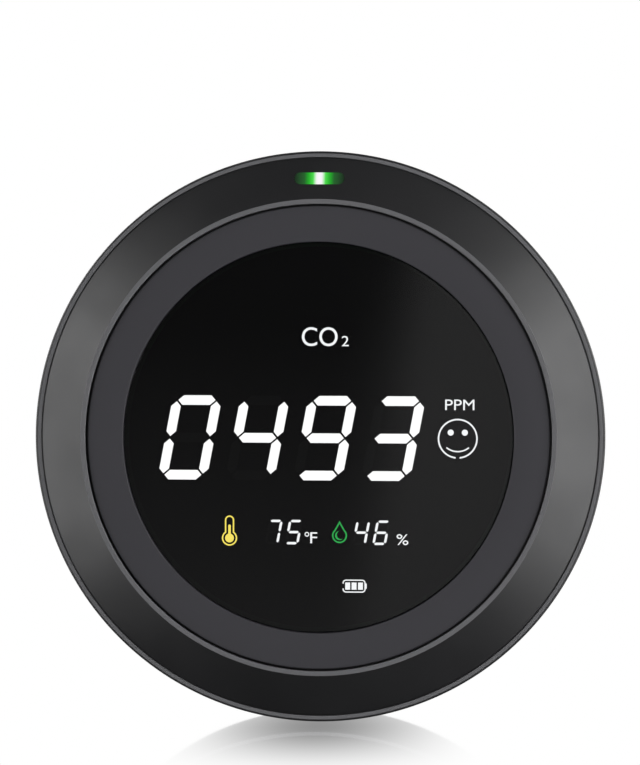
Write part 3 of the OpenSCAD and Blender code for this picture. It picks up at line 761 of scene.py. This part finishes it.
# %% Front shell
INSIDE_R = 46.8
LEDGE_DEPTH = 3.4
LEDGE_BACK = 5.4
shell = turned([(LIP_IN, 0, 0.12), (LIP_OUT, 0, 0.12), (BAND_OUT - 0.18, BAND_DROP - 0.1, 0.1),
                (BAND_OUT - 0.04, BAND_DROP + 0.14, 0.04), (BAND_OUT + 0.12, BAND_DROP, 0.06),
                (BODY_R, BAND_DROP, 0.4), (BODY_R, JOINT_DEPTH, 0.25), (INSIDE_R, JOINT_DEPTH, 0.1),
                (INSIDE_R, LEDGE_BACK, 0.3), (WINDOW_R + 0.9, LEDGE_BACK, 0.2),
                (WINDOW_R + 0.9, LEDGE_DEPTH, 0), (FLANGE_R + 0.3, LEDGE_DEPTH, 0),
                (FLANGE_R + 0.3, FLANGE_DEPTH, 0), (LIP_IN, FLANGE_DEPTH, 0)],
               shell_paint, segments=240)
light_slot = slot_cutter(8.7, 2.1, -8, 1, 0, 2)
light_slot.transform(Matrix.Translation((0, LIGHT_Y, 0)))
front_shell = finished("front_shell", cut(shell, light_slot), slot="shell_plastic",
                       replaces=["front_bezel"], sharp=25)

# %% [markdown]
# The lips wear the paler paint, a painted highlight for the light their edges catch. Each face knows
# its own place, so the flat faces in the lips' two bands of radius take the second material.

# %% Lips with their painted highlight
front_shell.data.materials.append(lips_painted_highlight)
to_face = FACE.inverted()
for face in front_shell.data.polygons:
    middle = to_face @ face.center
    radius = math.hypot(middle.x, middle.y)
    on_inner = radius < LIP_OUT + 0.05 and middle.z > -0.2
    on_outer = BAND_OUT + 0.05 < radius < BODY_R - 0.38 and middle.z > -4.2
    face.material_index = int(on_inner or on_outer)
print("lip faces:", sum(f.material_index for f in front_shell.data.polygons))

# %% [markdown]
# ## Ring and window
#
# The ring is a separate moulding, which leaves a thin black gap inside the lip. The window is turned
# acrylic with a flange behind the ring, and its outline ends on the axis at both ends.

# %% Ring and window
finished("matte_ring", turned([(WINDOW_R + 0.1, RING_DEPTH, 0.18), (SURROUND_R, RING_DEPTH, 0.2),
                               (SURROUND_R, FLANGE_DEPTH, 0.1), (WINDOW_R + 0.1, FLANGE_DEPTH, 0.1)],
                              surround_plastic, segments=240),
         slot="surround_plastic", replaces=["display_surround"])
finished("window", turned([(0, WINDOW_DEPTH, 0), (WINDOW_R, WINDOW_DEPTH, 0.22),
                           (WINDOW_R, FLANGE_DEPTH, 0.02), (FLANGE_R, FLANGE_DEPTH, 0.1),
                           (FLANGE_R, FLANGE_DEPTH + 1, 0.1), (0, FLANGE_DEPTH + 1, 0)],
                          window_acrylic, closed=False),
         slot="smoked_acrylic", replaces=["front_lens"])

# %% [markdown]
# ## Lit marks
#
# The unit marks are windows in the black film, lit from behind. They are built-in text, fitted to
# their sizes on the display and lifted a hair from the film.


# %% Marks
MARK_DEPTH = 3.5


def mark(name, words, left, right, low, high, finish):
    """Text turned to mesh and fitted to a box on the display."""
    text = bpy.data.curves.new(name, "FONT")
    text.body = words
    text.extrude = 0.02
    flat = evaluated_text(text)
    xs = [v.co.x for v in flat.vertices]
    ys = [v.co.y for v in flat.vertices]
    fit = Matrix.Diagonal(((right - left) / (max(xs) - min(xs)),
                           (high - low) / (max(ys) - min(ys)), 1, 1))
    flat.transform(Matrix.Translation((left, low, -MARK_DEPTH)) @ fit
                   @ Matrix.Translation((-min(xs), -min(ys), 0)))
    flat.materials.clear()
    flat.materials.append(finish)
    return finished(name, flat, slot="white_light")


def evaluated_text(text):
    """Mesh of a text curve."""
    carrier = bpy.data.objects.new(text.name, text)
    scene.collection.objects.link(carrier)
    graph = bpy.context.evaluated_depsgraph_get()
    mesh = bpy.data.meshes.new_from_object(carrier.evaluated_get(graph), depsgraph=graph)
    bpy.data.objects.remove(carrier)
    return mesh


mark("mark_gas", "CO", -2.97, 3.15, 15.65, 18.88, soft_white_light)
mark("mark_gas_index", "2", 3.87, 5.07, 15.65, 17.41, soft_white_light)
mark("mark_parts_per_million", "PPM", 21.62, 26.62, 4.81, 6.61, soft_white_light)
mark("mark_degrees", "F", -1.4, -0.22, -18.18, -16.3, soft_white_light)
mark("mark_percent", "%", 13.42, 15.44, -18.38, -16.52, soft_white_light)
degree_ring = turned([(r, MARK_DEPTH + back, 0) for r, back in
                      ((0.24, 0), (0.4, 0), (0.4, 0.1), (0.24, 0.1))], soft_white_light, segments=32)
finished("mark_degree_ring", moved(degree_ring, Matrix.Translation((-1.98, -16.66, 0))),
         slot="white_light")

# %% [markdown]
# ## The rear cover
#
# The cover is a shallow bowl, turned like the shell. One row of vent slots each side of the middle and
# an arc of them round the top let the room's air reach the gas sensor. Their cutters flare at the
# mouth, which leaves the small chamfer that a mould has there.

# %% Bowl and its screw wells
BACK_R = 45.73
bowl = turned([(0, BODY_DEPTH, 0), (BACK_R, BODY_DEPTH, 5.5), (COVER_R, JOINT_DEPTH, 0.2),
               (46.6, JOINT_DEPTH, 0), (46.6, 9.5, 0.2), (45.3, 9.5, 0.2), (45.3, 13, 0),
               (45.5, 13.3, 0), (43.85, 32, 3.5), (0, 32, 0)], cover_plastic, closed=False)
well = turned([(1.45, 16.7, 0), (4.1, 16.7, 0.2), (4.1, 32.1, 0), (2.9, 32.1, 0), (2.9, 24, 0),
               (1.45, 24, 0)], cover_plastic, segments=32)
wells = grown(well, ring_tree, count=4, radius=SCREW_RING, first=45.0, step=90.0, height=0.0,
              material=cover_plastic)

# %% Cutters for the vents and the screws
VENT_L = 9
VENT_W = 1.6
VENT_Y = 17
SIDE_VENT_DEPTH = 23.0
BACK = Matrix.Rotation(math.pi, 4, "Y")
OUTWARD = Matrix.Rotation(math.radians(90), 4, "Y")

rear_slot = moved(slot_cutter(VENT_L, VENT_W, 31, BODY_DEPTH, 0.25, 35),
                  BACK @ Matrix.Rotation(math.radians(90), 4, "Z"))
rear_vents = [grown(rear_slot, row_tree, count=5, start=(side * 8.0, VENT_Y, 0.0),
                    step=(side * 3.4, 0.0, 0.0)) for side in (-1, 1)]
taper = math.atan((COVER_R - BACK_R) / (BODY_DEPTH - JOINT_DEPTH))
side_slot = moved(slot_cutter(VENT_L, VENT_W, -5, 0, 0.25, 2),
                  Matrix.Rotation(math.radians(90) + taper, 4, "Y"))
side_vents = grown(side_slot, ring_tree, count=9, first=60.0, step=7.5, height=-SIDE_VENT_DEPTH,
                   radius=COVER_R - (SIDE_VENT_DEPTH - JOINT_DEPTH) * math.tan(taper))
screw_hole = moved(lofted([[Vector((r * math.cos(a), r * math.sin(a), z))
                            for a in (math.radians(15 * k) for k in range(24))]
                           for r, z in ((2.9, 31), (2.9, 33.75), (4.15, 35))]), BACK)
screw_holes = grown(screw_hole, ring_tree, count=4, radius=SCREW_RING, first=45.0, step=90.0,
                    height=0.0)
print("vent cutters:", len(side_vents.polygons) + sum(len(v.polygons) for v in rear_vents), "faces")


# %% Cutters for the keyhole, the stand, the inlet and the button
def keyhole_ring(grow, z):
    """Outline of the wall keyhole: a round hole with a narrow slot above it."""
    r, w = 4 + grow, 2.1 + grow
    low = math.asin(w / r)
    round_part = [Vector((r * math.cos(a), r * math.sin(a), z)) for a in
                  (math.radians(90) + low + (2 * math.pi - 2 * low) * k / 40 for k in range(41))]
    slot_end = [Vector((w * math.cos(a), 7.5 + w * math.sin(a), z)) for a in
                (math.radians(15 * k) for k in range(13))]
    return round_part + slot_end


keyhole = moved(lofted([keyhole_ring(0, 31), keyhole_ring(0, 33.7), keyhole_ring(1.3, 35)]),
                Matrix.Translation((0, KEYHOLE_Y, 0)) @ BACK)
cradle_low, cradle_high, cradle_half = -36.55, 7.14, 20.85
cradle_outline = rounded([(-cradle_half, cradle_low, 5.05), (cradle_half, cradle_low, 5.05),
                          (cradle_half, cradle_high, 5.05), (-cradle_half, cradle_high, 5.05)], 8)
cradle_hole = lofted([[(p.x, p.y, z) for p in cradle_outline] for z in (-31, -35)])
inlet_hole = moved(slot_cutter(9.64, 3.96, 42, 47.2, 0.3, 49), Matrix.Translation((0, 0, -SIDE_DEPTH))
                   @ OUTWARD @ Matrix.Rotation(math.radians(90), 4, "Z"))
button_hole = moved(slot_cutter(9.7, 4.1, 42, 47.2, 0.2, 49), Matrix.Translation((0, 0, -SIDE_DEPTH))
                    @ Matrix.Rotation(math.pi, 4, "Z") @ OUTWARD
                    @ Matrix.Rotation(math.radians(90), 4, "Z"))

# %% Rear cover
cutters = joined(*rear_vents, side_vents, screw_holes, keyhole, cradle_hole, inlet_hole, button_hole)
finished("rear_shell", joined(cut(bowl, cutters), wells), slot="shell_plastic",
         replaces=["rear_cover"], sharp=28)

# %% [markdown]
# ## Screws
#
# One screw is turned with a domed head, its cross recess is cut with two tapered bars, and the ring
# tree makes four of it.

# %% Cover screws
HEAD_TOP = 25.8
screw = turned([(0, 10, 0), (0.9, 10, 0), (1.2, 11, 0), (1.2, 24, 0), (2.4, 24, 0.1),
                (2.4, HEAD_TOP, 0.9), (0, HEAD_TOP, 0)], black_steel, segments=40, closed=False)
bars = []
for quarter in (0, 90):
    bar = lofted([[Vector((sx * x, sy * y, z)) for sx, sy in ((-1, -1), (1, -1), (1, 1), (-1, 1))]
                  for x, y, z in ((0.7, 0.2, -24.6), (1.5, 0.36, -26.2))])
    bars.append(moved(bar, Matrix.Rotation(math.radians(quarter), 4, "Z")))
for bar in bars:
    screw = cut(screw, bar)
finished("cover_screw_set", grown(screw, ring_tree, count=4, radius=SCREW_RING, first=45.0, step=90.0,
                                  height=0.0, material=black_steel),
         slot="plated_steel", replaces=["cover_screws"])

# %% [markdown]
# ## Pieces that keep their CAD form
#
# The stand, its cradle, the button and the grip pad have the right form already, but their edges are
# knife sharp. A copy of the CAD mesh is merged, its flat faces are made whole, and a Bevel modifier
# rounds each edge that turns by more than 40 degrees.


# %% Rounded copies
def softened(name, node, finish, slot, width, body="case"):
    """Copy of a CAD node with its edges rounded by a width in mm."""
    shape = bmesh.new()
    shape.from_mesh(nodes[node].data)
    bmesh.ops.remove_doubles(shape, verts=shape.verts, dist=2e-6)
    bmesh.ops.dissolve_limit(shape, angle_limit=math.radians(0.6), verts=shape.verts,
                             edges=shape.edges)
    mesh = bpy.data.meshes.new(name)
    shape.to_mesh(mesh)
    mesh.materials.append(finish)

    def set_up(carrier):
        bevel = carrier.modifiers.new("edges", "BEVEL")
        bevel.width = width * MM
        bevel.segments = 3
        bevel.angle_limit = math.radians(40)
    return finished(name, evaluated(mesh, set_up), Matrix(), body, slot, [node])


softened("stand_leg", "kickstand", cover_plastic, "shell_plastic", 0.25, body="stand")
softened("stand_foot", "kickstand_foot_pad", rubber, "black_rubber", 0.2, body="stand")
softened("stand_recess", "stand_cradle", cover_plastic, "shell_plastic", 0.2)
softened("power_key", "power_button", cover_plastic, "shell_plastic", 0.2, body="button")
softened("grip_strip", "rim_grip_pad", rubber, "black_rubber", 0.15)

# %% [markdown]
# ## CAD nodes that stay
#
# The light bars, the boards and everything else inside keep their CAD meshes, and only change their
# material.

# %% Materials for the CAD nodes
CAD_FINISH = {
    "lens_tape": black_foam, "status_light_guide": status_light, "status_led": led_epoxy,
    "display_mask": display_film, "display_housing": display_block, "co2_digits": white_light,
    "temperature_digits": soft_white_light, "humidity_digits": soft_white_light,
    "unlit_segments": unlit_epoxy, "comfort_icon": soft_white_light,
    "thermometer_icon": yellow_light, "droplet_icon": green_light,
    "battery_icon": soft_white_light, "display_pins": steel, "main_board": green_board,
    "board_screws": steel, "control_chip": chip_epoxy, "board_chips": chip_epoxy,
    "buzzer": chip_epoxy, "humidity_sensor": ceramic, "co2_sensor_board": blue_board,
    "co2_sensor_chamber": gold, "sensor_membrane": membrane, "sensor_pins": steel,
    "battery_pad": foam, "battery_cell": foil, "battery_leads": red_wire,
    "battery_connector": ivory_nylon, "usb_socket_shell": steel, "usb_contact_tongue": chip_epoxy,
    "tact_switch_body": chip_epoxy, "switch_plunger": orange_nylon, "dust_filter": filter_nylon,
    "kickstand_pin": steel}
for name, finish in CAD_FINISH.items():
    nodes[name].data.materials.clear()
    nodes[name].data.materials.append(finish)
print("CAD nodes with a finish:", len(CAD_FINISH), "of", len(nodes))

# %% [markdown]
# ## Reflections and colour
#
# The mirror images of the stand and the grip pad would clutter the short reflection on the table, so
# they are kept out of reflections.

# %% Reflections and colour management
for piece in ("stand_leg", "stand_foot", "grip_strip"):
    bpy.data.objects[piece].visible_glossy = False
scene.view_settings.view_transform = "Standard"
